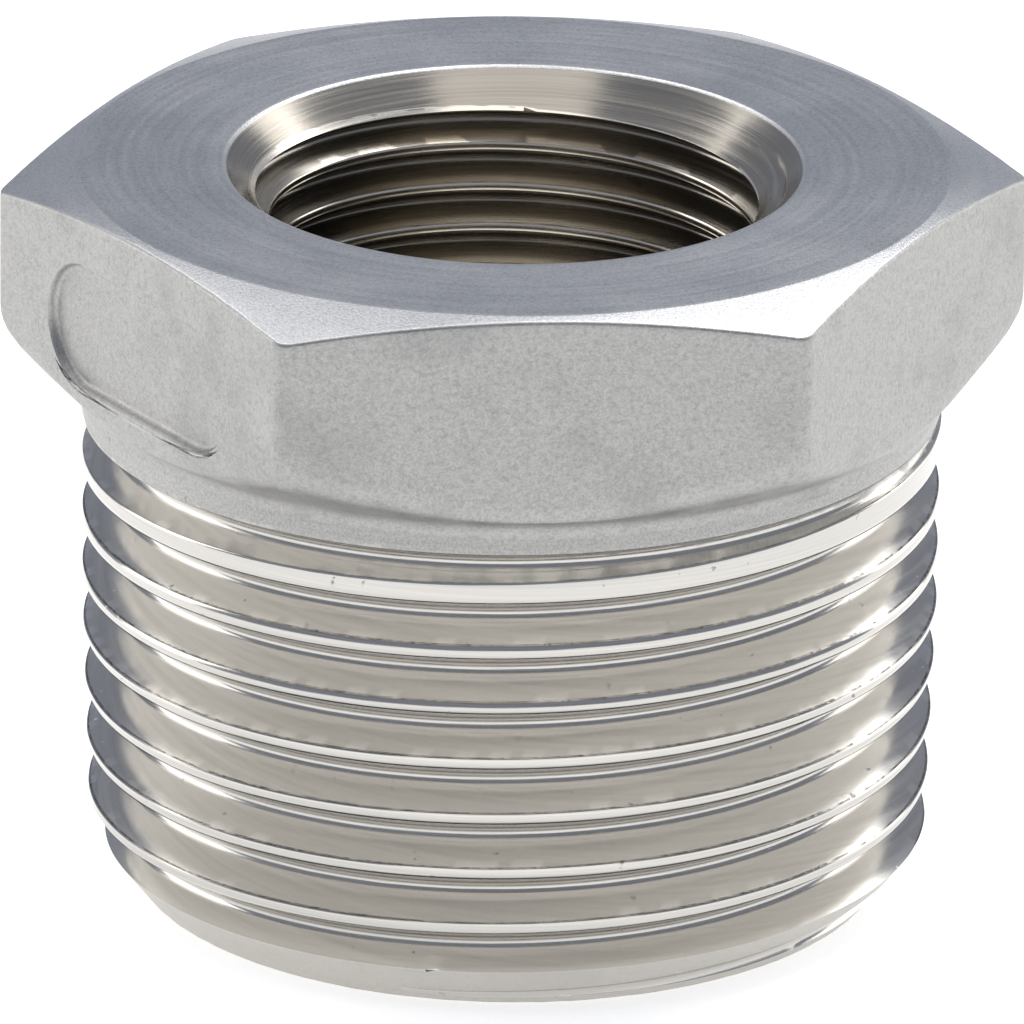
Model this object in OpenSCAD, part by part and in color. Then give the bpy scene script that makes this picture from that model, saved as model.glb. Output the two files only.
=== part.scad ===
// Hexagon reducing bush: one casting with a taper pipe thread outside and a smaller parallel
// pipe thread inside. It stands on its threaded end, centred on the Z axis, with the base at Z 0.

/* [Head] */
// Distance across the flats of the hexagon, mm
across_flats = 27.4; // [26.6:0.1:28]
// Rounding of the six upright corners, mm
corner_radius = 0.6; // [0.3:0.1:1]
// Height of the bush from the end face to the top face, mm
total_height = 23; // [22.4:0.1:24]
// Height of the head, from the neck to the top face, mm
head_height = 6.8; // [6.6:0.1:7.4]
// Diameter of the circle where the top chamfer begins, mm
chamfer_circle = 26.7; // [26.4:0.1:27.2]
// Slope of the top chamfer below the top face, degrees
chamfer_slope = 17; // [12:1:30]
// Slope of the cone under the head, measured from the level, degrees
underside_slope = 32; // [28:1:40]
// Rounding where the upright corners turn into the cone, mm
underside_round = 1.5; // [1:0.1:2.5]
// Hollow rounding between the cone and the neck, mm
neck_fillet = 0.7; // [0.4:0.1:0.9]

/* [Size pad] */
// Length of the sunk pad on one flat, mm
pad_length = 10; // [8:0.2:10.6]
// Height of the sunk pad, mm
pad_height = 4; // [3:0.2:4.2]
// Depth of the sunk pad below the flat, mm
pad_depth = 0.3; // [0.2:0.05:0.5]
// Distance from the top face down to the middle of the pad, mm
pad_drop = 3.65; // [3.4:0.05:3.9]

/* [Outer thread] */
// Basic diameter over the crests at the gauge plane, mm
outer_diameter = 26.441; // [26.3:0.01:26.6]
// Pitch of the outer thread, mm
outer_pitch = 1.814; // [1.6:0.001:2]
// Height of the gauge plane above the end face, mm
gauge_height = 10; // [8:0.1:12]
// Length over which the diameter grows by one, the taper of the thread
taper_ratio = 16; // [14:1:20]
// Diameter that the neck and the upper crests are turned to, mm
blank_diameter = 26.45; // [26.2:0.05:26.6]
// Diameter of the flat end face, mm
end_diameter = 23.1; // [22.6:0.1:23.6]
// Height of the chamfer round the end face, mm
end_chamfer = 1.8; // [1.4:0.05:2.1]
// Height above the end face where the lowest whole crest crosses the corner on the X axis, mm
crest_phase = 1.68; // [1.2:0.02:2.2]
// Distance below the neck where the cutter ends, clear of the metal, mm
run_out_gap = 0.05; // [0:0.05:0.6]
// Part of a turn over which the groove grows shallower before it ends
run_out_turn = 1; // [0.5:0.1:1.2]

/* [Bore] */
// Basic diameter of the inner thread, measured in its grooves, mm
inner_diameter = 16.662; // [16.5:0.01:16.8]
// Pitch of the inner thread, mm
inner_pitch = 1.337; // [1.2:0.001:1.5]
// Depth of the full inner thread below the top face, mm
inner_thread_depth = 12.55; // [10:0.05:14]
// Diameter of the countersink in the top face, mm
countersink_diameter = 17.8; // [17.2:0.1:18.6]
// Slope of the countersink wall, measured from the axis, degrees
countersink_slope = 48; // [40:1:60]
// Diameter of the plain bore below the inner thread, mm
bore_diameter = 14.4; // [14:0.1:14.4]
// Width of the small chamfer where the bore leaves the end face, mm
bore_end_chamfer = 0.4; // [0.2:0.1:0.6]

/* [Facets] */
// Steps that each turn of the outer thread is drawn with
outer_steps = 44; // [36:4:48]
// Steps that each turn of the inner thread is drawn with
inner_steps = 32; // [28:4:40]

/* [Hidden] */
steel = [0.66, 0.66, 0.67];

// Pipe thread form: a 55 degree V, rounded at the root, with its height and root radius as parts of the pitch.
half_angle = 27.5;
form_height = 0.640327;
form_root = 0.137329;

vertex_radius = across_flats / 2 / cos(30);
top_z = total_height;
neck_z = total_height - head_height;
neck_radius = blank_diameter / 2;
outer_taper = 1 / (2 * taper_ratio);
end_radius = end_diameter / 2;
inner_minor = inner_diameter / 2 - form_height * inner_pitch;
countersink_depth = (countersink_diameter / 2 - inner_minor) / tan(countersink_slope);
bore_radius = bore_diameter / 2;
tapped_z = top_z - inner_thread_depth - 0.6 * inner_pitch;

// Crest radius of the taper thread at a height above the end face.
function outer_crest(z) = outer_diameter / 2 + (z - gauge_height) * outer_taper;

// Points along an arc in the half plane, angles measured from the outward direction.
function arc(r, z, radius, from, to, n) =
    [for (i = [0:n]) let (a = from + (to - from) * i / n) [r + radius * cos(a), z + radius * sin(a)]];

// Cross-section of a groove cutter, from its lower flank round the root to its upper flank.
// Each point is [depth from the crest line, height], and the flanks reach clear of the crest line.
function groove(pitch, clear) =
    let (
        root = form_root * pitch,
        centre = form_height * pitch - root,
        tangent = 90 - half_angle,
        d0 = centre + root * cos(tangent),
        w0 = root * sin(tangent),
        w1 = w0 + (d0 + clear) * tan(half_angle)
    ) [
        [-clear, -w1],
        for (a = [-1, 0, 1]) [centre + root * cos(a * tangent), a * w0],
        [-clear, w1]
    ];

// A right-hand helical groove cutter. side is -1 for a groove cut inward from the outside and 1 for one
// cut outward from a bore. lift draws the cutter out of the metal at either end of the cut.
module thread_cutter(pitch, turns, steps, z0, crest, taper, side, clear, fade_in, fade_out) {
    section = groove(pitch, clear);
    m = len(section);
    n = round(turns * steps);
    depth = form_height * pitch + clear;
    function lift(t) = depth * (max(0, 1 - t / max(fade_in, 0.001)) * (fade_in > 0 ? 1 : 0)
        + max(0, 1 - (turns - t) / max(fade_out, 0.001)) * (fade_out > 0 ? 1 : 0));
    points = [
        for (i = [0:n]) let (t = i / steps, a = 360 * t, z = z0 + t * pitch, up = lift(t))
            for (p = section) let (r = crest + z * taper + side * (p[0] - up), h = z + p[1])
                [r * cos(a), r * sin(a), h]
    ];
    skin = [
        for (i = [0:n - 1], j = [0:m - 1]) let (
            a = i * m + j, b = i * m + (j + 1) % m, c = a + m, d = b + m
        ) each [[a, b, d], [a, d, c]]
    ];
    ends = [[for (j = [0:m - 1]) m - 1 - j], [for (j = [0:m - 1]) n * m + j]];
    faces = concat(skin, ends);
    polyhedron(points, side > 0 ? faces : [for (f = faces) [for (k = [len(f) - 1:-1:0]) f[k]]], convexity = 12);
}

// The hexagon with rounded corners: three bars across the flats and a disc in each corner.
module hexagon() {
    inner = vertex_radius - corner_radius / cos(30);
    for (a = [0, 60, 120]) rotate(a + 30) square([across_flats, inner], center = true);
    for (a = [0:60:300]) rotate(a) translate([inner, 0]) circle(corner_radius, $fn = 48);
}

// Turned outline of the head: top chamfer, upright corners, rounding, cone, and the hollow rounding
// that leads into the neck.
module head_outline() {
    wide = vertex_radius + 0.4;
    chamfer_r = chamfer_circle / 2;
    turn = 90 - underside_slope;
    cone_top = neck_z + (vertex_radius - neck_radius) * tan(underside_slope);
    arc_r = vertex_radius + 0.05 - underside_round;
    arc_z = cone_top + underside_round * tan(turn / 2);
    fillet_drop = neck_fillet * (1 - sin(underside_slope)) / cos(underside_slope);
    polygon(concat(
        [[0, top_z], [chamfer_r, top_z], [wide, top_z - (wide - chamfer_r) * tan(chamfer_slope)],
         [wide, arc_z]],
        arc(arc_r, arc_z, underside_round, 0, -turn, 8),
        arc(neck_radius + neck_fillet, neck_z - fillet_drop, neck_fillet, 90 + underside_slope, 180, 5),
        [[0, neck_z - fillet_drop]]
    ));
}

// Turned outline of the shank: end chamfer, taper, then the parallel neck up into the head.
module shank_outline() {
    into_head = neck_z + 1;
    intersection() {
        polygon([
            [0, 0], [end_radius, 0], [outer_crest(end_chamfer), end_chamfer],
            [outer_crest(into_head), into_head], [0, into_head]
        ]);
        square([neck_radius, into_head]);
    }
}

// Sunk pad on one flat, a slot with round ends.
module pad() {
    half = (pad_length - pad_height) / 2;
    rotate(210) translate([across_flats / 2 - pad_depth, 0, top_z - pad_drop]) rotate([90, 0, 90])
        linear_extrude(1) {
            square([2 * half, pad_height], center = true);
            for (s = [-1, 1]) translate([s * half, 0]) circle(pad_height / 2, $fn = 64);
        }
}

// Turned outline of the bore: countersink, crests of the thread, the step under the tapped length, plain
// bore, and the chamfer at the end face.
module bore_outline() {
    polygon([
        [0, -1], [bore_radius + bore_end_chamfer + 1, -1], [bore_radius, bore_end_chamfer],
        [bore_radius, tapped_z - (inner_minor - bore_radius)], [inner_minor, tapped_z],
        [inner_minor, top_z - countersink_depth], [countersink_diameter / 2, top_z],
        [countersink_diameter / 2, top_z + 1], [0, top_z + 1]
    ]);
}

// Cast blank with its turned shank, the pad and the outer thread, before the bore is made.
module threaded_blank() {
    turns = (neck_z - run_out_gap - crest_phase) / outer_pitch + 1.5;
    difference() {
        union() {
            intersection() {
                translate([0, 0, neck_z - 1]) linear_extrude(head_height + 2) hexagon();
                rotate_extrude($fn = 144) head_outline();
            }
            rotate_extrude($fn = 144) shank_outline();
        }
        pad();
        thread_cutter(outer_pitch, turns, outer_steps, crest_phase - 1.5 * outer_pitch,
            outer_crest(0), outer_taper, -1, 0.5, 0, run_out_turn);
    }
}

// Everything that the bore takes away: the turned hole and the groove of the inner thread.
module threaded_bore() {
    rotate_extrude($fn = 144) bore_outline();
    thread_cutter(inner_pitch, inner_thread_depth / inner_pitch + 1, inner_steps,
        top_z - inner_thread_depth, inner_minor, 0, 1, 0.4, 0.5, 0);
}

module reducing_bush() {
    color(steel) difference() {
        threaded_blank();
        threaded_bore();
    }
}

reducing_bush();
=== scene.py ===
"""Hexagon reducing bush: a steel casting with a taper thread outside and a smaller parallel thread inside.

The bush is one closed skin. Its threads are screw sheets: a row of points spun round the axis while it
climbs, so that every row of the mesh follows the thread from end to end.
"""

import math

import bmesh
import bpy
from bpy.props import FloatProperty, FloatVectorProperty, IntProperty, PointerProperty
from mathutils import Matrix, Vector, noise


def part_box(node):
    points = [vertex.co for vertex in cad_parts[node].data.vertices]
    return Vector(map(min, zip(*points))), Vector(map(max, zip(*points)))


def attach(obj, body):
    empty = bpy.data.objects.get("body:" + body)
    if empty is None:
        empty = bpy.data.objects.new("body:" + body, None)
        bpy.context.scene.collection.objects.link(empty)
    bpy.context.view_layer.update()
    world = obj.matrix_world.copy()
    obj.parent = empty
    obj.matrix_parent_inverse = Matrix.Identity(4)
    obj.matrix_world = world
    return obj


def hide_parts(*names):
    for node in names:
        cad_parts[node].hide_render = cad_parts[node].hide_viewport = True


bl_info = {
    "name": "Hexagon Reducing Bush",
    "version": (1, 0, 0),
    "blender": (4, 5, 0),
    "location": "View3D > Sidebar > Bush",
    "description": "A cast and threaded steel reducing bush with its studio",
    "category": "Object",
}

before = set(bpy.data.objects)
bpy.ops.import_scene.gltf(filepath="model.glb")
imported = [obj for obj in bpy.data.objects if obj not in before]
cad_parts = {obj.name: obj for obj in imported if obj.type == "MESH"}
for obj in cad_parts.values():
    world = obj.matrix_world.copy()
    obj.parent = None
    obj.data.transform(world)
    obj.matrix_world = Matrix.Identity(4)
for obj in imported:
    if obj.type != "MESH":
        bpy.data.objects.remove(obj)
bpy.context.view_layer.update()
BUSH_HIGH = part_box("reducing_bush")[1]

TURN = 2 * math.pi
COLUMNS_PER_SIDE = 40
CAST, FACED, THREAD, BORE = range(4)
# Distances of the two inner rings of the top face from the axis.
TOP_RINGS = (0.0094, 0.0112)
# Width of the flat ring round either mouth of the bore, and of the one inside the end chamfer.
MOUTH_RIM = 0.00015
END_RIM = 0.0002
# Height where the end chamfer is cut off for its ragged lip.
LIP_HEIGHT = 0.0001
# Distance below the hollow rounding where the shank is joined to the head.
NECK_GAP = 0.00004
# Edges that turn by more than this stay sharp.
CREASE = math.radians(42)
# Turn of an edge that counts as fully sharp for the painted highlight along it.
FULL_EDGE = math.radians(70)
FLOOR_GAP = 0.00002
FLOOR_HALF = 3.0
# The picture: width of the sensor in mm, side in pixels, and where the middle of the top face falls on it.
SENSOR = 36
PIXELS = 1024
TOP_SPOT = (514.44, 162.46)


def length(name, default, description, low=0.0, high=0.1):
    """A size in metres."""
    return FloatProperty(name=name, description=description, default=default, min=low, max=high,
                         precision=5, subtype="DISTANCE", unit="LENGTH")


def angle(name, degrees, description):
    """An angle, given in degrees and kept in radians."""
    return FloatProperty(name=name, description=description, default=math.radians(degrees),
                         subtype="ANGLE", unit="ROTATION")


def colour(name, default, description):
    """A colour in linear light."""
    return FloatVectorProperty(name=name, description=description, default=default, size=3,
                               min=0.0, max=1.0, subtype="COLOR")


def factor(name, default, description, low=0.0, high=1.0):
    """A plain number."""
    return FloatProperty(name=name, description=description, default=default, min=low, max=high)


def whole(name, default, description):
    """A whole number of columns."""
    return IntProperty(name=name, description=description, default=default, min=48)


class BushHeadSizes(bpy.types.PropertyGroup):
    """Sizes of the hexagon head."""
    across_flats: length("Across Flats", 0.0274, "Distance across the flats of the hexagon")
    corner_radius: length("Corner Radius", 0.0006, "Rounding of the six upright corners")
    total_height: length("Total Height", BUSH_HIGH.z, "Height of the top face above the end face")
    head_height: length("Head Height", 0.0068, "Height of the head above the neck")
    chamfer_circle: length("Chamfer Circle", 0.0267, "Diameter where the top chamfer begins")
    chamfer_slope: angle("Chamfer Slope", 17, "Slope of the top chamfer below the top face")
    underside_slope: angle("Underside Slope", 32, "Slope of the cone under the head")
    underside_round: length("Underside Round", 0.0015, "Rounding where the corners turn into the cone")
    neck_fillet: length("Neck Fillet", 0.0007, "Hollow rounding between the cone and the neck")
    top_edge: length("Top Edge", 0.00007, "Wear on the edge between the chamfer and the flats")
    lower_edge: length("Lower Edge", 0.0006, "Rounding between the flats and the cone")
    pad_length: length("Pad Length", 0.01, "Length of the sunk pad on one flat")
    pad_height: length("Pad Height", 0.004, "Height of the sunk pad")
    pad_depth: length("Pad Depth", 0.00028, "Depth of the sunk pad")
    pad_drop: length("Pad Drop", 0.00365, "Distance from the top face to the middle of the pad")
    pad_side: angle("Pad Side", 210, "Direction that the flat with the pad faces")


class BushThreadSizes(bpy.types.PropertyGroup):
    """Sizes of the two threads."""
    outer_diameter: length("Outer Thread", 0.026441, "Diameter over the crests at the gauge plane")
    outer_pitch: length("Outer Pitch", 0.001814, "Pitch of the outer thread")
    gauge_height: length("Gauge Height", 0.01, "Height of the gauge plane above the end face")
    taper_ratio: factor("Taper Ratio", 16, "Length in which the diameter grows by one", 8, 32)
    blank_diameter: length("Blank Diameter", 0.02645, "Diameter of the neck and of the upper crests")
    end_diameter: length("End Diameter", 0.0231, "Diameter of the flat end face")
    end_chamfer: length("End Chamfer", 0.0018, "Height of the chamfer round the end face")
    crest_phase: length("Crest Phase", 0.00168, "Height of the lowest whole crest on the X axis")
    run_out_gap: length("Run-out Gap", 0.00005, "Distance below the neck where the cutter ends")
    run_out_turn: factor("Run-out Turn", 1.0, "Part of a turn over which the groove fades", 0.1, 2)
    inner_diameter: length("Inner Thread", 0.016662, "Diameter of the inner thread in its grooves")
    inner_pitch: length("Inner Pitch", 0.001337, "Pitch of the inner thread")
    inner_depth: length("Inner Depth", 0.01255, "Depth of the full inner thread")
    countersink_diameter: length("Countersink", 0.0178, "Diameter of the countersink in the top face")
    countersink_slope: angle("Countersink Slope", 48, "Slope of the countersink wall from the axis")
    bore_diameter: length("Plain Bore", 0.0144, "Diameter of the plain bore below the inner thread")
    bore_chamfer: length("Bore Chamfer", 0.0004, "Width of the chamfer where the bore leaves the end face")
    crest_edge: length("Crest Edge", 0.00013043, "Rounding of the outer crest edges")
    bore_edge: length("Bore Crest Edge", 0.00014, "Rounding of the inner crest edges")
    outer_steps: whole("Outer Steps", 240, "Columns round the outer thread")
    inner_steps: whole("Inner Steps", 120, "Columns round the inner thread")


class BushFinish(bpy.types.PropertyGroup):
    """Colours of the steel as cast and as cut."""
    cast_colour: colour("Cast Steel", (0.40, 0.395, 0.38), "Blasted casting skin")
    stain_colour: colour("Stain", (0.27, 0.27, 0.26), "Darker clouds in the casting skin")
    skin_height: length("Skin Height", 0.0151, "Height on the neck where the casting skin ends")
    end_height: length("End Skin Height", 0.00185, "Height that the cleaner skin of the end reaches up to")
    end_colour: colour("End Chamfer", (0.62, 0.595, 0.55), "Cleaner skin of the chamfer round the end")
    faced_colour: colour("Faced Steel", (0.60, 0.605, 0.61), "Turned top face and chamfer")
    thread_colour: colour("Thread Steel", (0.63, 0.61, 0.57), "Cut outer thread")
    bore_colour: colour("Bore Steel", (0.44, 0.41, 0.36), "Cut inner thread")


class BushStudio(bpy.types.PropertyGroup):
    """Floor, lights and camera."""
    floor_colour: colour("Floor", (0.8, 0.8, 0.8), "Pale studio floor")
    floor_glow: factor("Floor Glow", 0.62, "Light that the floor gives off, as on a light table")
    room_colour: colour("Room", (0.265, 0.287, 0.345), "Light of the room round the studio")
    box_distance: length("Box Distance", 1.2, "Distance of the soft boxes from the bush", high=5)
    camera_azimuth: angle("Camera Azimuth", 266.006, "Direction of the camera from the bush")
    camera_elevation: angle("Camera Elevation", 20.027, "Height of the camera above the top face")
    camera_distance: length("Camera Distance", 0.5142, "Distance from the middle of the top face", high=5)
    camera_roll: angle("Camera Roll", 0.665, "Turn of the camera about its own axis")
    lens: factor("Lens", 591.2, "Focal length in millimetres on a 36 mm sensor", 10, 2000)


def toward(azimuth, elevation):
    """Unit vector of a direction, from its azimuth and elevation."""
    level = math.cos(elevation)
    return Vector((math.cos(azimuth) * level, math.sin(azimuth) * level, math.sin(elevation)))


def polar(radius, theta, z):
    """A point from its distance, direction and height."""
    return Vector((radius * math.cos(theta), radius * math.sin(theta), z))


def ring_edges(bm, z, radius, slack=2e-5):
    """The open edges that lie on the circle of that height and radius."""
    return [e for e in bm.edges if e.is_boundary and all(
        abs(v.co.z - z) < slack and abs(v.co.xy.length - radius) < slack for v in e.verts)]


def carry_ring(bm, edges, stations, material, wobble=None):
    """Draws an open ring of edges on through (radius, height) stations, and returns its last edges."""
    for radius, z in stations:
        made = bmesh.ops.extrude_edge_only(bm, edges=edges)["geom"]
        for v in (g for g in made if isinstance(g, bmesh.types.BMVert)):
            theta = math.atan2(v.co.y, v.co.x)
            extra = wobble(theta, z) if wobble else 0.0
            v.co = polar(radius + extra, theta, z)
        edges = [g for g in made if isinstance(g, bmesh.types.BMEdge)]
        for face in (g for g in made if isinstance(g, bmesh.types.BMFace)):
            face.material_index = material
    return edges


def around(v):
    """Direction of a vertex from the axis, counted from between two columns."""
    return (math.atan2(v.co.y, v.co.x) + 0.01) % TURN


def bridge(bm, first, second, material, turn=around):
    """Joins two open rings of as many edges each with a band of faces, paired in order of direction."""
    if len(first) != len(second):
        raise RuntimeError(f"rings of {len(first)} and {len(second)} edges can't be bridged")
    made = bmesh.ops.extrude_edge_only(bm, edges=first)["geom"]
    for face in (g for g in made if isinstance(g, bmesh.types.BMFace)):
        face.material_index = material
    fresh = sorted((g for g in made if isinstance(g, bmesh.types.BMVert)), key=turn)
    goal = sorted({v for e in second for v in e.verts}, key=turn)
    bmesh.ops.weld_verts(bm, targetmap=dict(zip(fresh, goal)))


def double_ring(bm, edges):
    """Splits every edge of an open ring in two, the new vertices on its circle, and returns the edges."""
    radius = edges[0].verts[0].co.xy.length
    made = bmesh.ops.subdivide_edges(bm, edges=edges, cuts=1)["geom_inner"]
    for v in (g for g in made if isinstance(g, bmesh.types.BMVert)):
        v.co = polar(radius, math.atan2(v.co.y, v.co.x), v.co.z)
    return ring_edges(bm, edges[0].verts[0].co.z, radius)


# Threads

HALF_ANGLE = math.radians(27.5)
FORM_HEIGHT = 0.640327
FORM_ROOT = 0.137329
# Rows of one side of a groove, from its root to the middle of the land beside it.
ROWS = (("root", 0.5), ("root", 1.0), ("flank", 0.05), ("flank", 0.5), ("flank", 0.95),
        ("edge", 0), ("edge", 1), ("edge", 2), ("land", 0.5))
LAYOUT = ([(0, "land", 1.0)] + [(-1, *row) for row in reversed(ROWS)] + [(0, "root", 0.0)]
          + [(1, *row) for row in ROWS])


def groove_depth(pitch, s):
    """Depth of the 55 degree groove below its crest line at a distance s from its middle."""
    root = FORM_ROOT * pitch
    centre = FORM_HEIGHT * pitch - root
    tangent = root * math.cos(HALF_ANGLE)
    if s < tangent:
        return centre + math.sqrt(root * root - s * s)
    return centre + root * math.sin(HALF_ANGLE) - (s - tangent) / math.tan(HALF_ANGLE)


def groove_row(row, pitch, trim, rounding, ease):
    """(distance from the groove's middle, depth below the crest line) of a row, for crests trimmed by trim.

    ease is 1 where the crests have their full rounding and 0 near the ends of the cut, where they are
    sharper.
    """
    side, kind, part = row
    root = FORM_ROOT * pitch
    tangent = root * math.cos(HALF_ANGLE)
    tangent_depth = FORM_HEIGHT * pitch - root + root * math.sin(HALF_ANGLE)
    edge = max(tangent + (tangent_depth - trim) * math.tan(HALF_ANGLE), 0.1 * pitch)
    foot = min(tangent, 0.5 * edge)
    land = pitch / 2 - edge
    soft = min(rounding * (0.46 + 0.54 * ease), (0.3 + 0.5 * ease) * land, 0.4 * (edge - foot))
    if kind == "land":
        if side == 0:
            return pitch / 2 * -1, trim
        return side * (edge + soft + part * (pitch / 2 - edge - soft)), trim
    if kind == "edge":
        bulge = (-math.sin(HALF_ANGLE), 0.25 * (1 - math.sin(HALF_ANGLE)), 1.0)[part] * soft
        sunk = (math.cos(HALF_ANGLE), 0.25 * math.cos(HALF_ANGLE), 0.0)[part] * soft
        flat = groove_depth(pitch, 0.0) <= trim
        return side * (edge + bulge), trim if flat else trim + sunk
    s = foot * part if kind == "root" else foot + part * (edge - foot)
    return side * s, max(groove_depth(pitch, s), trim)


def screw_sheet(first, pitches, steps, place, limit, side):
    """A sheared tube whose rows follow a right-hand thread.

    place(row, turn) gives a vertex's radius and height, limit(z) the radius that the blank is turned to.
    side is -1 for a thread cut inward and 1 for one cut outward from a bore.
    """
    bm = bmesh.new()
    rows = len(LAYOUT)
    chain = [bm.verts.new((1.0, 0.0, float(k))) for k in range(rows * pitches + 1)]
    links = [bm.edges.new(pair) for pair in zip(chain, chain[1:])]
    bmesh.ops.spin(bm, geom=chain + links, cent=(0, 0, 0), axis=(0, 0, 1), dvec=(0, 0, rows / steps),
                   angle=TURN, steps=steps, use_duplicate=False)
    bmesh.ops.remove_doubles(bm, verts=bm.verts[:], dist=0.01)
    columns = {}
    for v in bm.verts:
        theta = math.atan2(v.co.y, v.co.x) % TURN
        k = round(v.co.z - rows * theta / TURN)
        columns.setdefault(round(theta / TURN * steps) % steps, []).append((k, theta, v))
    for column in columns.values():
        column.sort(key=lambda item: (item[0] + rows * item[1] / TURN))
        spots = [list(place(k % rows, k // rows + first + theta / TURN)) for k, theta, _ in column]
        over = [side * (limit(z) - r) for r, z in spots]
        moved = set()
        for i in range(len(spots) - 1):
            if (over[i] > 0) != (over[i + 1] > 0):
                part = over[i] / (over[i] - over[i + 1])
                near = i if part < 0.5 else i + 1
                if near not in moved:
                    z = spots[i][1] + (spots[i + 1][1] - spots[i][1]) * part
                    moved.add(near)
                    spots[near] = [limit(z), z]
        for i, (r, z) in enumerate(spots):
            if over[i] > 0 and i not in moved:
                spots[i] = [limit(z), z]
        for (_, theta, v), (r, z) in zip(column, spots):
            v.co = polar(r, theta, z)
    return bm


def cut_level(bm, z, keep_above, steps):
    """Cuts the sheet at a height, clears what lies beyond it, and leaves one vertex a column on the cut."""
    bmesh.ops.bisect_plane(bm, geom=bm.verts[:] + bm.edges[:] + bm.faces[:], dist=1e-7, plane_co=(0, 0, z),
                           plane_no=(0, 0, -1 if keep_above else 1), clear_outer=True)
    ring = [v for v in bm.verts if v.is_boundary and abs(v.co.z - z) < 1e-6]
    bmesh.ops.remove_doubles(bm, verts=ring, dist=5e-6)
    extra = []
    for v in bm.verts:
        column = math.atan2(v.co.y, v.co.x) / TURN * steps
        if v.is_boundary and abs(v.co.z - z) < 1e-6 and abs(column - round(column)) > 0.02:
            extra.append(v)
    bmesh.ops.dissolve_verts(bm, verts=extra)


def neck_ring(head, thread):
    """Height where the shank meets the hollow rounding of the head."""
    return underside(head, thread)[3] - NECK_GAP


def outer_sheet(head, thread):
    """The shank: neck, taper thread and end chamfer, open at its two ends."""
    pitch = thread.outer_pitch
    neck = head.total_height - head.head_height
    blank_r = thread.blank_diameter / 2
    slope = 0.5 / thread.taper_ratio
    start = thread.crest_phase - 1.5 * pitch
    last = (neck - thread.run_out_gap - thread.crest_phase) / pitch + 1.5
    depth = FORM_HEIGHT * pitch + 0.0005

    def crest(z):
        return thread.outer_diameter / 2 + (z - thread.gauge_height) * slope

    def blank(z):
        return min(crest(z), blank_r)

    def place(row, turn):
        middle = start + turn * pitch
        lift = depth * min(1.0, max(0.0, 1 - (last - turn) / thread.run_out_turn))
        trim = crest(middle) - blank(middle) + lift
        ease = min(1.0, max(0.0, 2 * (last - turn) - 2.1), max(0.0, middle / pitch - 0.7))
        s, deep = groove_row(LAYOUT[row], pitch, trim, thread.crest_edge, ease)
        z = middle + s
        return min(crest(middle) - deep + lift, blank(z)) if deep > trim else blank(z), z

    end_r = thread.end_diameter / 2
    flare = (crest(thread.end_chamfer) - end_r) / thread.end_chamfer

    def limit(z):
        return end_r + z * flare

    pitches = math.ceil((neck - start) / pitch + 0.5) + 1
    bm = screw_sheet(-1, pitches, thread.outer_steps, place, limit, -1)
    for f in bm.faces:
        centre = f.calc_center_median()
        f.material_index = CAST if limit(centre.z) - centre.xy.length < 1e-5 else THREAD
    cut_level(bm, neck_ring(head, thread), False, thread.outer_steps)
    cut_level(bm, LIP_HEIGHT, True, thread.outer_steps)

    def ragged(theta, z):
        return 0.00003 * noise.noise(polar(1.0, theta, 0) * 22 + Vector((0, 0, z * 4000)))

    edges = ring_edges(bm, LIP_HEIGHT, limit(LIP_HEIGHT))
    carry_ring(bm, edges, [(end_r + 0.00003, 0.00003), (end_r - 0.00002, 0.00001), (end_r - 0.0001, 0.0),
                           (end_r - END_RIM, 0.0)], CAST, ragged)
    return bm


def bore_sheet(head, thread):
    """The bore: countersink, parallel thread and plain bore, open at its two ends."""
    pitch = thread.inner_pitch
    top = head.total_height
    minor = thread.inner_diameter / 2 - FORM_HEIGHT * pitch
    start = top - thread.inner_depth
    depth = FORM_HEIGHT * pitch + 0.0004
    sink_r = thread.countersink_diameter / 2
    spread = math.tan(thread.countersink_slope)

    def limit(z):
        return sink_r - (top - z) * spread

    def place(row, turn):
        middle = start + turn * pitch
        lift = depth * min(1.0, max(0.0, 1 - turn / 0.5))
        ease = min(1.0, max(0.0, (top - middle) / pitch - 0.8), max(0.0, turn - 0.6))
        s, deep = groove_row(LAYOUT[row], pitch, lift, thread.bore_edge, ease)
        return minor + max(deep - lift, 0.0), middle + s

    pitches = math.ceil(thread.inner_depth / pitch + 1) + 2
    bm = screw_sheet(-2, pitches, thread.inner_steps, place, limit, 1)
    for f in bm.faces:
        f.material_index = BORE
    lip = top - 0.00008
    cut_level(bm, lip, False, thread.inner_steps)
    tapped = start - 0.6 * pitch
    cut_level(bm, tapped, True, thread.inner_steps)
    rim = ring_edges(bm, lip, limit(lip))
    rim = carry_ring(bm, rim, [(sink_r - 0.00003, top - 0.00002), (sink_r + 0.00004, top),
                               (sink_r + MOUTH_RIM, top)], FACED)
    double_ring(bm, rim)
    tail = ring_edges(bm, tapped, minor)
    cut = thread.bore_chamfer
    plain = thread.bore_diameter / 2
    step = tapped - (minor - plain)
    tail = carry_ring(bm, tail, [(plain + 0.00004, step + 0.00004), (plain, step - 0.00004),
                                 (plain, step / 2), (plain, cut + 0.00005), (plain, cut)], BORE)
    tail = carry_ring(bm, tail, [(plain + cut - 0.00004, 0.00004), (plain + cut + 0.00003, 0.0),
                                 (plain + cut + MOUTH_RIM, 0.0)], BORE)
    double_ring(bm, tail)
    return bm


# Head

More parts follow.
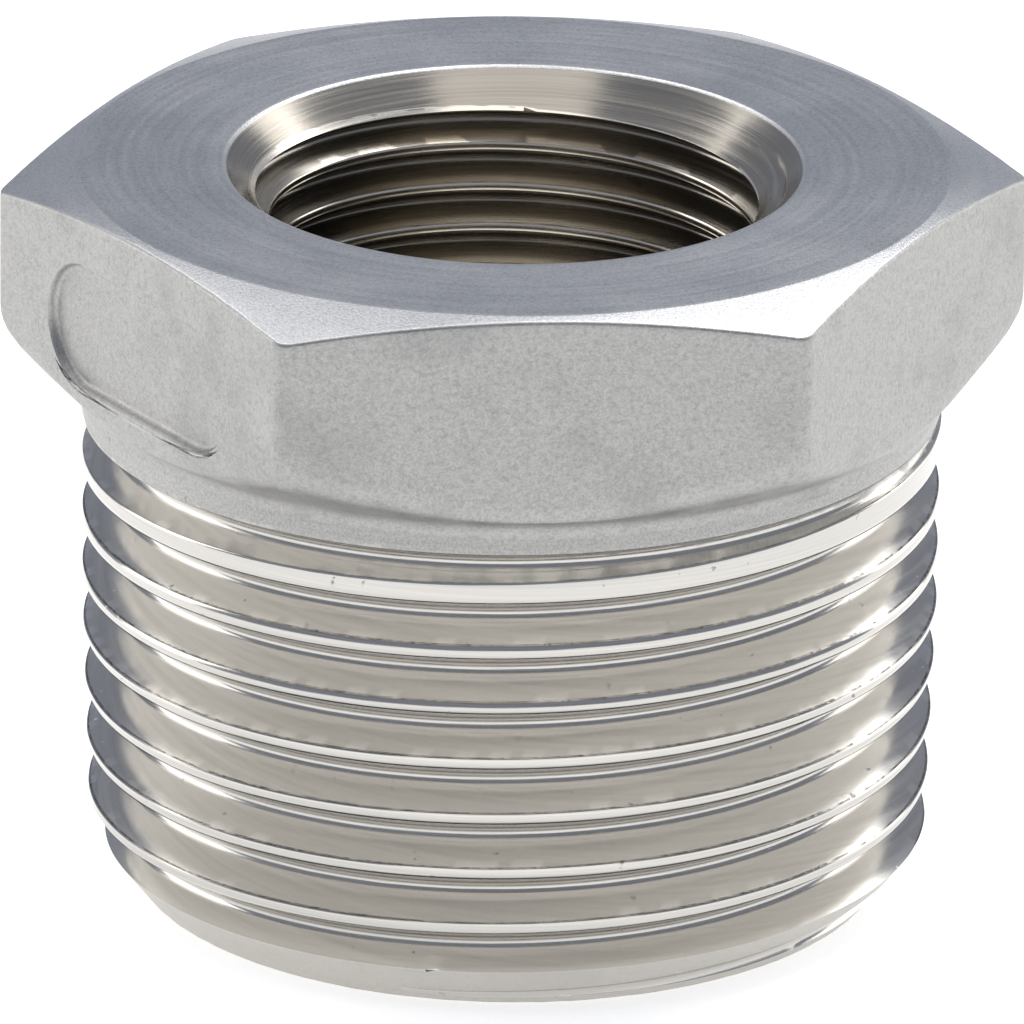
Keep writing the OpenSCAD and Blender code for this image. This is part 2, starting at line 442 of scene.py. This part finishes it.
def underside(head, thread):
    """Height of the turned outline under the head at a distance from the axis."""
    vertex = head.across_flats / 2 / math.cos(math.radians(30))
    neck_r = thread.blank_diameter / 2
    neck_z = head.total_height - head.head_height
    slope, big, small = head.underside_slope, head.underside_round, head.neck_fillet
    cone_top = neck_z + (vertex - neck_r) * math.tan(slope)
    arc_r = vertex + 0.00005 - big
    arc_z = cone_top + big * math.tan((math.pi / 2 - slope) / 2)
    drop = small * (1 - math.sin(slope)) / math.cos(slope)
    fillet_r, fillet_z = neck_r + small, neck_z - drop
    cone_out = arc_r + big * math.sin(slope)
    cone_in = fillet_r - small * math.sin(slope)

    def height(r):
        if r > cone_out:
            return arc_z - math.sqrt(max(0.0, big * big - (r - arc_r) ** 2))
        if r > cone_in:
            return neck_z + (r - neck_r) * math.tan(slope)
        return fillet_z + math.sqrt(max(0.0, small * small - (r - fillet_r) ** 2))

    return height, cone_in, fillet_r, fillet_z


def wall_columns(head):
    """Plan positions of the head's columns, closer together round the six upright corners."""
    vertex = head.across_flats / 2 / math.cos(math.radians(30))
    radius = head.corner_radius
    inner = vertex - radius / math.cos(math.radians(30))
    run = vertex / 2 - radius * math.tan(math.radians(30))
    half = COLUMNS_PER_SIDE // 2
    columns = []
    for q in range(6 * COLUMNS_PER_SIDE):
        corner, j = divmod(q + half, COLUMNS_PER_SIDE)
        j -= half
        a = abs(j)
        turn = math.radians(30) * min(a, 5) / 5
        x, y = inner + radius * math.cos(turn), radius * math.sin(turn)
        if a > 5:
            along = 0.0001 if a == 6 else 0.0001 + (run - 0.0001) * (a - 6) / (half - 6)
            x, y = x - along / 2, y + along * math.cos(math.radians(30))
        theta = math.radians(60) * corner
        y = y if j >= 0 else -y
        c, s = math.cos(theta), math.sin(theta)
        columns.append(Vector((x * c - y * s, x * s + y * c)))
    return columns


def bend(a, corner, b, count):
    """Points round a corner from a to b."""
    parts = [i / count for i in range(count + 1)]
    return [a * (1 - t) ** 2 + corner * 2 * t * (1 - t) + b * t * t for t in parts]


def head_profile(head, thread, reach, where):
    """Outline of the head at one column, from the top face to the neck, as (distance, height) points.

    Returns the points and the row where the worn edge of the chamfer begins.
    """
    height, cone_in, fillet_r, fillet_z = underside(head, thread)
    top, circle = head.total_height, head.chamfer_circle / 2
    fall = math.tan(head.chamfer_slope)
    points = [Vector((r, top)) for r in (*TOP_RINGS, circle - 0.00025, circle - 0.00004)]
    points += [Vector((circle, top - 0.000003)), Vector((circle + 0.00004, top - 0.00004 * fall))]
    edge_z = top - (reach - circle) * fall
    wear = head.top_edge * (1 + 0.5 * noise.noise(where * 1900))
    points.append(Vector((reach - wear * 1.9, edge_z + wear * 1.9 * fall)))
    edge_row = len(points)
    points += bend(Vector((reach - wear, edge_z + wear * fall)), Vector((reach, edge_z)),
                   Vector((reach, edge_z - wear * 1.3)), 3)
    points.append(Vector((reach, edge_z - 0.00022)))
    low_z = height(reach)
    soft = min(head.lower_edge, 0.7 * (reach - cone_in))
    tall = head.lower_edge
    points += [Vector((reach, low_z + tall + 0.00006))]
    foot = Vector((reach - soft * 0.85, height(reach - soft * 0.85)))
    points += bend(Vector((reach, low_z + tall)), Vector((reach, low_z)), foot, 5)
    for part in (0.2, 0.45, 0.75, 1.0):
        r = foot.x + (cone_in - foot.x) * part
        points.append(Vector((r, height(r))))
    small = head.neck_fillet
    for part in (0.3, 0.6, 0.85, 1.0):
        a = math.radians(90) + head.underside_slope + (math.radians(90) - head.underside_slope) * part
        points.append(Vector((fillet_r + small * math.cos(a), fillet_z + small * math.sin(a))))
    return points, edge_row


def head_sheet(head, thread):
    """The head's skin from its top face to its neck, open at both ends, with the sunk pad in one flat."""
    columns = wall_columns(head)
    count = len(columns)
    profiles = []
    for plan in columns:
        points, edge_row = head_profile(head, thread, plan.length, plan.to_3d())
        profiles.append(points)
    rows = len(profiles[0])
    bm = bmesh.new()
    chain = [bm.verts.new((1.0, 0.0, float(k))) for k in range(rows)]
    links = [bm.edges.new(pair) for pair in zip(chain, chain[1:])]
    bmesh.ops.spin(bm, geom=chain + links, cent=(0, 0, 0), axis=(0, 0, 1), angle=TURN, steps=count,
                   use_merge=True, use_duplicate=False)
    for f in bm.faces:
        k = min(round(v.co.z) for v in f.verts)
        f.material_index = FACED if k < edge_row else CAST
    evenness = [1.0, 0.5] + [0.0] * (rows - 10) + [0.2, 0.45, 0.75, 1.0, 1.0, 1.0, 1.0, 1.0]
    for v in bm.verts:
        q = round(math.atan2(v.co.y, v.co.x) / TURN * count) % count
        row = round(v.co.z)
        even = TURN * q / count
        lean = (math.atan2(columns[q].y, columns[q].x) - even + math.pi) % TURN - math.pi
        v.co = polar(profiles[q][row].x, even + lean * (1 - evenness[row]), profiles[q][row].y)
    sink_pad(bm, head)
    return bm


def sink_pad(bm, head):
    """Opens the flat that carries the pad and closes it again round a slot with round ends."""
    out = Vector((math.cos(head.pad_side), math.sin(head.pad_side), 0))
    along = Vector((-out.y, out.x, 0))
    apothem = head.across_flats / 2
    flat = [f for f in bm.faces if f.calc_center_median().dot(out) > apothem - 1e-6
            and abs(f.calc_center_median().dot(along)) < head.across_flats / 4 + 0.0005
            and f.calc_area() > 1e-7 and f.normal.length > 0]
    bmesh.ops.delete(bm, geom=flat, context="FACES")

    def opening():
        return [e for e in bm.edges if e.is_boundary
                and all(abs(v.co.dot(out) - apothem) < 1e-6 for v in e.verts)]

    bmesh.ops.subdivide_edges(bm, edges=opening(), cuts=1)
    border = opening()
    half = (head.pad_length - head.pad_height) / 2
    radius = head.pad_height / 2
    centre = out * apothem + Vector((0, 0, head.total_height - head.pad_drop))
    depth = head.pad_depth
    # Outline of the pad's soft wall: (distance outside its edge, part of its depth).
    stations = [(0.00016, 0), (0.00009, 0.0), (0.00004, 0.012), (0.0, 0.16), (-0.00003, 0.5),
                (-0.00006, 0.8), (-0.00012, 0.96), (-0.0002, 1.0), (-0.0003, 1.0)]
    made = bmesh.ops.create_circle(bm, cap_ends=False, segments=len(border), radius=radius)["verts"]
    turns = {v: math.atan2(v.co.y, v.co.x) for v in made}
    edges = list({e for v in made for e in v.link_edges})
    first = edges

    def set_ring(spots, offset, deep):
        for v, turn in spots.items():
            shift = half if math.cos(turn) >= 0 else -half
            u = shift + (radius + offset) * math.cos(turn)
            w = (radius + offset) * math.sin(turn)
            v.co = centre + along * u + Vector((0, 0, w)) - out * deep * depth

    set_ring(turns, *stations[0])
    for station in stations[1:]:
        made = bmesh.ops.extrude_edge_only(bm, edges=edges)["geom"]
        fresh = [g for g in made if isinstance(g, bmesh.types.BMVert)]
        new_turns = {}
        for v in fresh:
            mate = next(e.other_vert(v) for e in v.link_edges if e.other_vert(v) in turns)
            new_turns[v] = turns[mate]
        for g in made:
            if isinstance(g, bmesh.types.BMFace):
                g.material_index = CAST
        turns = new_turns
        set_ring(turns, *station)
        edges = [g for g in made if isinstance(g, bmesh.types.BMEdge)]
    floor = bmesh.ops.contextual_create(bm, geom=edges)["faces"]
    for f in floor:
        f.material_index = CAST

    def turn(v):
        return (math.atan2(v.co.z - centre.z, v.co.dot(along)) + 0.01) % TURN

    bridge(bm, border, first, CAST, turn)


def build_bush(head, thread):
    """The whole skin of the bush as one closed mesh."""
    total = bmesh.new()
    for part in (head_sheet(head, thread), outer_sheet(head, thread), bore_sheet(head, thread)):
        mesh = bpy.data.meshes.new("part")
        part.to_mesh(mesh)
        part.free()
        total.from_mesh(mesh)
        bpy.data.meshes.remove(mesh)
    top = head.total_height
    fillet_z = underside(head, thread)[3]
    sink_r, blank_r = thread.countersink_diameter / 2, thread.blank_diameter / 2
    mouth_r = thread.bore_diameter / 2 + thread.bore_chamfer + MOUTH_RIM
    end_r = thread.end_diameter / 2 - END_RIM
    bridge(total, ring_edges(total, top, TOP_RINGS[0]), ring_edges(total, top, sink_r + MOUTH_RIM), FACED)
    shank = ring_edges(total, neck_ring(head, thread), blank_r)
    bridge(total, ring_edges(total, fillet_z, blank_r), shank, CAST)
    bridge(total, ring_edges(total, 0, end_r, 6e-5), ring_edges(total, 0, mouth_r), CAST)
    bmesh.ops.recalc_face_normals(total, faces=total.faces[:])
    for f in total.faces:
        f.smooth = True
    for e in total.edges:
        e.smooth = e.calc_face_angle(0.0) < CREASE
    if total.calc_volume(signed=True) < 0:
        raise RuntimeError("the bush is inside out")
    loose = [e for e in total.edges if not e.is_manifold]
    if loose:
        raise RuntimeError(f"the bush is open at {len(loose)} edges, such as {loose[0].verts[0].co[:]}")
    mark_edges(total)
    return total


# Steel

class Steel:
    """A metal material under construction, with short ways to add the nodes that the finishes share."""

    def __init__(self, name):
        self.material = bpy.data.materials.new(name)
        self.material.use_nodes = True
        self.nodes, self.links = self.material.node_tree.nodes, self.material.node_tree.links
        self.shader = self.nodes["Principled BSDF"]
        self.shader.inputs["Metallic"].default_value = 1.0
        self.place = self.nodes.new("ShaderNodeTexCoord").outputs["Object"]

    def node(self, kind, inputs=(), **settings):
        """A node with its settings, and with its inputs linked or set in order (None leaves one alone)."""
        node = self.nodes.new("ShaderNode" + kind)
        for key, value in settings.items():
            setattr(node, key, value)
        for socket, value in zip(node.inputs, inputs):
            if isinstance(value, bpy.types.NodeSocket):
                self.links.new(value, socket)
            elif value is not None:
                socket.default_value = value
        return node

    def sums(self, operation, a, b):
        """One step of arithmetic."""
        return self.node("Math", (a, b), operation=operation).outputs[0]

    def span(self, value, low, high, to_low, to_high):
        """The value mapped from one range to another and held inside it."""
        return self.node("MapRange", (value, low, high, to_low, to_high)).outputs[0]

    def vary(self, noise, low, high):
        """Noise, which lies between 0.3 and 0.7 for the most part, mapped between two values."""
        return self.span(noise, 0.3, 0.7, low, high)

    def grain(self, size, detail=2.0, place=None):
        """Cloudy noise whose clouds are about that size in metres."""
        made = self.node("TexNoise", (place or self.place,))
        made.inputs["Scale"].default_value = 1.0 / size
        made.inputs["Detail"].default_value = detail
        return made.outputs[0]

    def turned(self, along, across, detail=2.0):
        """Noise drawn out round the axis, as a turning tool leaves it, by its length and its width."""
        parts = self.node("SeparateXYZ", (self.place,)).outputs
        flat = self.node("CombineXYZ", (parts[0], parts[1], 0.0)).outputs[0]
        radius = self.node("VectorMath", (flat,), operation="LENGTH").outputs["Value"]
        profile = self.sums("ADD", parts[2], self.sums("MULTIPLY", radius, 0.37))
        drawn = [self.sums("DIVIDE", part, along) for part in parts[:2]]
        spot = self.node("CombineXYZ", (*drawn, self.sums("DIVIDE", profile, across))).outputs[0]
        return self.grain(1.0, detail, spot)

    def edge(self):
        """How sharp the nearest outer edge is, from the mesh."""
        return self.node("Attribute", attribute_name="edge").outputs["Fac"]

    def blend(self, factor, first, second):
        """One colour laid over another."""
        made = self.nodes.new("ShaderNodeMix")
        made.data_type = "RGBA"
        self.links.new(factor, made.inputs[0])
        for socket, value in ((made.inputs[6], first), (made.inputs[7], second)):
            if isinstance(value, bpy.types.NodeSocket):
                self.links.new(value, socket)
            else:
                socket.default_value = (*value, 1)
        return made.outputs[2]

    def bump(self, height, distance, below=None):
        """A relief of that depth in metres, laid over the one below it."""
        made = self.node("Bump")
        made.inputs["Strength"].default_value = 1.0
        made.inputs["Distance"].default_value = distance
        self.links.new(height, made.inputs["Height"])
        if below:
            self.links.new(below, made.inputs["Normal"])
        return made.outputs[0]

    def finish(self, tint, roughness, relief):
        """Joins the colour, roughness and relief to the shader."""
        self.links.new(tint, self.shader.inputs["Base Color"])
        self.links.new(roughness, self.shader.inputs["Roughness"])
        self.links.new(relief, self.shader.inputs["Normal"])
        return self.material

    def lay(self, anisotropy):
        """Draws the gloss out across the turning marks."""
        self.shader.inputs["Anisotropic"].default_value = anisotropy
        self.shader.inputs["Anisotropic Rotation"].default_value = 0.25
        ring = self.node("Tangent", direction_type="RADIAL", axis="Z").outputs[0]
        self.links.new(ring, self.shader.inputs["Tangent"])


def scaled(tint, by):
    """A lighter or darker version of a colour."""
    return tuple(min(1.0, c * by) for c in tint)


def cast_steel(finish):
    """Blasted casting skin: fine grain, cloudy mottling, a few stains, and a painted highlight that
    lightens its sharp edges.
    """
    steel = Steel("cast_steel")
    speck = steel.grain(0.00007, 2.0)
    fine = steel.grain(0.00018, 3.0)
    cloud = steel.grain(0.0011, 3.0)
    stain = steel.span(steel.grain(0.0036, 4.0), 0.54, 0.72, 0.0, 0.5)
    tint = steel.blend(steel.vary(cloud, 0, 1), scaled(finish.cast_colour, 0.86),
                       scaled(finish.cast_colour, 1.06))
    tint = steel.blend(steel.span(speck, 0.35, 0.65, 0.0, 0.42), tint, scaled(finish.cast_colour, 1.5))
    tint = steel.blend(steel.span(fine, 0.5, 0.72, 0.0, 0.3), tint, finish.stain_colour)
    tint = steel.blend(stain, tint, finish.stain_colour)
    # Painted highlight: the casting skin is lightened along its sharp outer edges.
    tint = steel.blend(steel.span(steel.edge(), 0.2, 0.9, 0, 0.6), tint, scaled(finish.cast_colour, 1.5))
    height = steel.node("SeparateXYZ", (steel.place,)).outputs[2]
    clean = steel.span(height, finish.end_height + 0.00015, finish.end_height - 0.00015, 0, 0.8)
    tint = steel.blend(clean, tint, finish.end_colour)
    rough = steel.sums("ADD", steel.vary(cloud, 0.44, 0.54), steel.vary(fine, -0.05, 0.05))
    relief = steel.bump(cloud, 0.00002)
    return steel.finish(tint, rough, steel.bump(speck, 0.000007, steel.bump(fine, 0.000009, relief)))


def faced_steel(finish):
    """Turned top face and chamfer: close rings and a fine even tooth."""
    steel = Steel("faced_steel")
    rings = steel.turned(0.012, 0.00009)
    tooth = steel.grain(0.00008, 2.0)
    cloud = steel.grain(0.003, 2.0)
    tint = steel.blend(steel.vary(cloud, 0, 1), scaled(finish.faced_colour, 0.95), finish.faced_colour)
    tint = steel.blend(steel.span(tooth, 0.35, 0.65, 0.0, 0.36), tint, scaled(finish.faced_colour, 1.4))
    tint = steel.blend(steel.span(tooth, 0.3, 0.5, 0.3, 0.0), tint, scaled(finish.faced_colour, 0.6))
    # Painted highlight: the faced steel is lightened along its sharp outer edges.
    tint = steel.blend(steel.span(steel.edge(), 0.15, 0.6, 0, 0.7), tint, scaled(finish.cast_colour, 1.9))
    rough = steel.sums("ADD", steel.vary(cloud, 0.33, 0.37), steel.vary(rings, -0.03, 0.03))
    relief = steel.bump(rings, 0.000003)
    steel.lay(0.3)
    return steel.finish(tint, rough, steel.bump(tooth, 0.000007, relief))


def thread_steel(finish):
    """Cut thread: bright, with tool marks that run round it and small torn spots."""
    steel = Steel("thread_steel")
    lines = steel.turned(0.009, 0.000035, 3.0)
    broad = steel.turned(0.02, 0.0002)
    tear = steel.span(steel.grain(0.0005, 3.0), 0.72, 0.78, 0.0, 1.0)
    tint = steel.blend(steel.vary(lines, 0, 1), scaled(finish.thread_colour, 0.86), finish.thread_colour)
    tint = steel.blend(tear, tint, scaled(finish.thread_colour, 0.5))
    # Painted highlight: the thread is lightened along its crest edges and other sharp outer edges.
    tint = steel.blend(steel.span(steel.edge(), 0.2, 0.8, 0, 0.5), tint, scaled(finish.thread_colour, 1.3))
    rough = steel.sums("ADD", steel.vary(broad, 0.15, 0.23), steel.vary(lines, -0.03, 0.03))
    rough = steel.sums("ADD", rough, steel.sums("MULTIPLY", tear, 0.3))
    height = steel.node("SeparateXYZ", (steel.place,)).outputs[2]
    height = steel.sums("ADD", height, steel.vary(steel.grain(0.0009, 3.0), -0.00018, 0.00018))
    skin = steel.span(height, finish.skin_height - 0.00012, finish.skin_height + 0.00012, 0, 1)
    speck = steel.span(steel.grain(0.00007, 2.0), 0.35, 0.65, 0, 1)
    bare = steel.blend(speck, scaled(finish.cast_colour, 0.9), scaled(finish.cast_colour, 1.2))
    tint = steel.blend(skin, tint, bare)
    rough = steel.sums("ADD", rough, steel.sums("MULTIPLY", skin, 0.28))
    relief = steel.bump(broad, 0.000005)
    relief = steel.bump(lines, 0.0000018, relief)
    steel.lay(0.4)
    return steel.finish(tint, rough, steel.bump(tear, 0.00001, relief))


def bore_steel(finish):
    """Tapped bore: glossy, with tool marks round it."""
    steel = Steel("bore_steel")
    lines = steel.turned(0.006, 0.00004, 2.0)
    broad = steel.turned(0.012, 0.00025)
    tint = steel.blend(steel.vary(lines, 0, 1), scaled(finish.bore_colour, 0.82), finish.bore_colour)
    # Painted highlight: the bore is lightened, up to twice its colour, along its crest edges and other
    # sharp outer edges.
    tint = steel.blend(steel.span(steel.edge(), 0.1, 0.5, 0, 1.0), tint, scaled(finish.bore_colour, 2.0))
    rough = steel.sums("ADD", steel.vary(broad, 0.16, 0.28), steel.vary(lines, -0.03, 0.03))
    relief = steel.bump(broad, 0.000006)
    steel.lay(0.4)
    return steel.finish(tint, rough, steel.bump(lines, 0.0000018, relief))


def mark_edges(bm):
    """Stores on every vertex how sharply the outer edges at it turn, 0 for none and 1 for 70 degrees, for
    the painted edge highlights of the steels.
    """
    layer = bm.verts.layers.float.new("edge")
    for v in bm.verts:
        turn = max((e.calc_face_angle_signed(0.0) for e in v.link_edges), default=0.0)
        v[layer] = min(1.0, max(0.0, turn / FULL_EDGE))


class BUSH_OT_make_bush(bpy.types.Operator):
    """Make the reducing bush and its four steel finishes"""
    bl_idname = "bush.make_bush"
    bl_label = "Make Bush"

    def execute(self, context):
        scene = context.scene
        bm = build_bush(scene.bush_head, scene.bush_thread)
        mesh = bpy.data.meshes.new("reducing_bush_steel")
        bm.to_mesh(mesh)
        bm.free()
        bush = bpy.data.objects.new("reducing_bush_steel", mesh)
        context.collection.objects.link(bush)
        for make in (cast_steel, faced_steel, thread_steel, bore_steel):
            mesh.materials.append(make(scene.bush_finish))
        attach(bush, "root")
        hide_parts("reducing_bush")
        print("triangles", sum(len(p.vertices) - 2 for p in mesh.polygons))
        return {"FINISHED"}


class BUSH_OT_make_studio(bpy.types.Operator):
    """Make the pale floor, the soft lights and the camera"""
    bl_idname = "bush.make_studio"
    bl_label = "Make Studio"

    def execute(self, context):
        scene = context.scene
        studio = scene.bush_studio
        bm = bmesh.new()
        bmesh.ops.create_grid(bm, x_segments=1, y_segments=1, size=FLOOR_HALF)
        for v in bm.verts:
            v.co.z = -FLOOR_GAP
        mesh = bpy.data.meshes.new("floor")
        bm.to_mesh(mesh)
        bm.free()
        floor = bpy.data.objects.new("floor", mesh)
        context.collection.objects.link(floor)
        material = bpy.data.materials.new("pale_floor")
        material.use_nodes = True
        shader = material.node_tree.nodes["Principled BSDF"]
        shader.inputs["Base Color"].default_value = (*studio.floor_colour, 1)
        shader.inputs["Roughness"].default_value = 0.9
        shader.inputs["Emission Color"].default_value = (1, 1, 1, 1)
        shader.inputs["Emission Strength"].default_value = studio.floor_glow
        mesh.materials.append(material)
        top = Vector((0, 0, scene.bush_head.total_height))

        def soft_box(name, azimuth, elevation, half_width, half_height, radiance, tint):
            """A rectangular light that fills that much of the sky, in degrees from the camera's side."""
            data = bpy.data.lights.new(name, "AREA")
            data.shape = "RECTANGLE"
            data.size = 2 * studio.box_distance * math.tan(math.radians(half_width))
            data.size_y = 2 * studio.box_distance * math.tan(math.radians(half_height))
            data.energy = radiance * math.pi * data.size * data.size_y
            data.color = tint
            lamp = bpy.data.objects.new(name, data)
            context.collection.objects.link(lamp)
            turn = studio.camera_azimuth + math.radians(azimuth)
            lamp.location = top + toward(turn, math.radians(elevation)) * studio.box_distance
            lamp.rotation_euler = (top - lamp.location).to_track_quat("-Z", "Y").to_euler()

        soft_box("left_back_box", -140, 55, 12, 18, 2.3, (1, 0.98, 0.95))
        soft_box("right_back_box", 144, 56, 14, 21, 3.4, (1, 0.99, 0.97))
        soft_box("top_box", 0, 84, 20, 15, 1.1, (1, 0.97, 0.93))
        soft_box("left_side_box", -106, 14, 16, 24, 2.2, (1, 0.98, 0.95))
        soft_box("right_side_box", 122, 14, 14, 24, 2.2, (1, 0.98, 0.95))
        world = bpy.data.worlds.new("studio")
        world.use_nodes = True
        world.node_tree.nodes["Background"].inputs["Color"].default_value = (*studio.room_colour, 1)
        scene.world = world
        scene.view_settings.view_transform = "Standard"
        self.make_camera(context, studio, top)
        return {"FINISHED"}

    def make_camera(self, context, studio, top):
        """Set the camera so that the middle of the top face falls on its spot in the picture"""
        eye = top + toward(studio.camera_azimuth, studio.camera_elevation) * studio.camera_distance
        data = bpy.data.cameras.new("camera")
        data.lens = studio.lens
        data.sensor_width = SENSOR
        data.clip_start, data.clip_end = 0.01, 20
        camera = bpy.data.objects.new("camera", data)
        context.collection.objects.link(camera)
        pixels = studio.lens / SENSOR * PIXELS
        look = (top - eye).normalized()
        across = look.cross(Vector((0, 0, 1))).normalized()
        up = across.cross(look)
        roll = studio.camera_roll
        right = across * math.cos(roll) + up * math.sin(roll)
        upward = up * math.cos(roll) - across * math.sin(roll)
        off_x, off_y = (spot - PIXELS / 2 for spot in TOP_SPOT)
        sight = (look * pixels - right * off_x + upward * off_y).normalized()
        side = sight.cross(upward).normalized()
        lift = side.cross(sight)
        camera.location = eye
        camera.rotation_euler = Matrix((side, lift, -sight)).transposed().to_euler()
        context.scene.camera = camera


class BUSH_PT_panel(bpy.types.Panel):
    """Sizes, finishes and steps of the bush"""
    bl_idname = "BUSH_PT_panel"
    bl_label = "Reducing Bush"
    bl_space_type = "VIEW_3D"
    bl_region_type = "UI"
    bl_category = "Bush"

    def draw(self, context):
        for title, group in (("Head", context.scene.bush_head), ("Threads", context.scene.bush_thread),
                             ("Finish", context.scene.bush_finish), ("Studio", context.scene.bush_studio)):
            box = self.layout.box()
            box.label(text=title)
            for name in group.__annotations__:
                box.prop(group, name)
        self.layout.operator(BUSH_OT_make_bush.bl_idname)
        self.layout.operator(BUSH_OT_make_studio.bl_idname)


GROUPS = (("bush_head", BushHeadSizes), ("bush_thread", BushThreadSizes),
          ("bush_finish", BushFinish), ("bush_studio", BushStudio))
CLASSES = tuple(group for _, group in GROUPS) + (BUSH_OT_make_bush, BUSH_OT_make_studio, BUSH_PT_panel)


def register():
    for cls in CLASSES:
        bpy.utils.register_class(cls)
    for name, group in GROUPS:
        setattr(bpy.types.Scene, name, PointerProperty(type=group))


def unregister():
    for name, _ in GROUPS:
        delattr(bpy.types.Scene, name)
    for cls in reversed(CLASSES):
        bpy.utils.unregister_class(cls)


def main():
    register()
    bpy.ops.bush.make_bush()
    bpy.ops.bush.make_studio()


if __name__ == "__main__":
    main()
